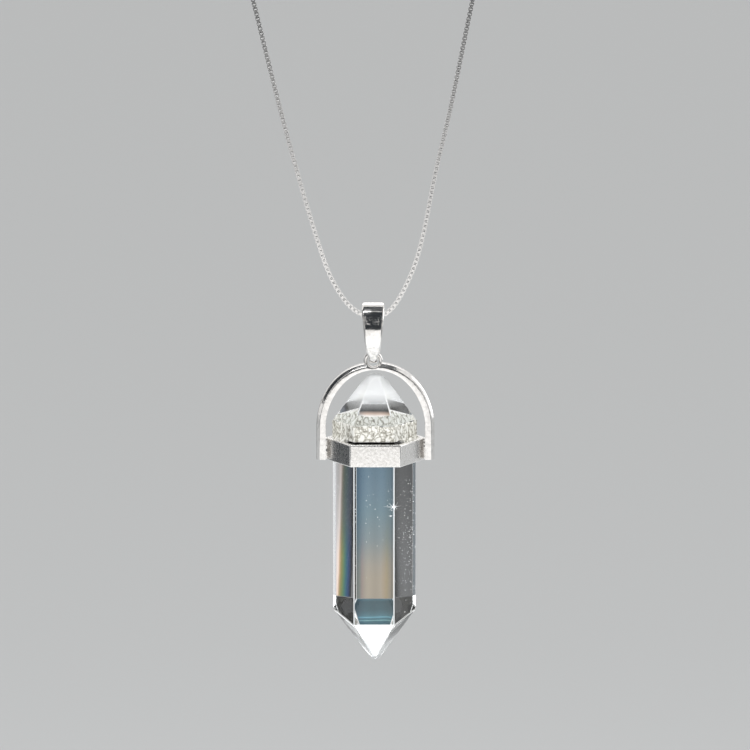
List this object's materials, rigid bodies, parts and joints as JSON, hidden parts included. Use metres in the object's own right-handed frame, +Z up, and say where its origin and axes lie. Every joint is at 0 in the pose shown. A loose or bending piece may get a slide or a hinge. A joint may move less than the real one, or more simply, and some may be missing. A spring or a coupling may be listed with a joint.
{
  "type": "crystal point pendant on a box chain",
  "caption": "Clear six-sided crystal point held in a hexagonal collar under an arched loop, hung by a tapered bail on a closed fine box chain.",
  "frame": {"origin": "middle of the clasp at the top of the closed chain, where the chain hangs from a neck or a hook", "axes": "+Z up along the hanging pendant, -Y the side that faces the viewer, +X to the viewer's right"},
  "size_m": [0.0756, 0.0096, 0.2373],
  "materials": {
    "crystal": "clear polished quartz",
    "cement": "cured clear-grey cement with a crinkled surface",
    "plated_metal": "bright silver-coloured plating, lightly grained",
    "chain_metal": "bright silver-coloured plating on fine links"
  },
  "bodies": {
    "chain": {"chain_left": "chain_metal", "chain_right": "chain_metal", "jump_ring_left": "plated_metal", "jump_ring_right": "plated_metal", "clasp": "plated_metal"},
    "bail": {"bail": "plated_metal"},
    "drop": {"collar_arch": "plated_metal", "cement_ring": "cement", "crystal_point": "crystal"}
  },
  "joints": [
    {"name": "bail_swing", "type": "hinge", "parent": "chain", "child": "bail", "pos_m": [0, 0, -0.1968], "axis": [1, 0, 0], "range_deg": [-70, 70]},
    {"name": "drop_swing", "type": "hinge", "parent": "bail", "child": "drop", "pos_m": [0, 0, -0.20112], "axis": [1, 0, 0], "range_deg": [-45, 45]}
  ]
}
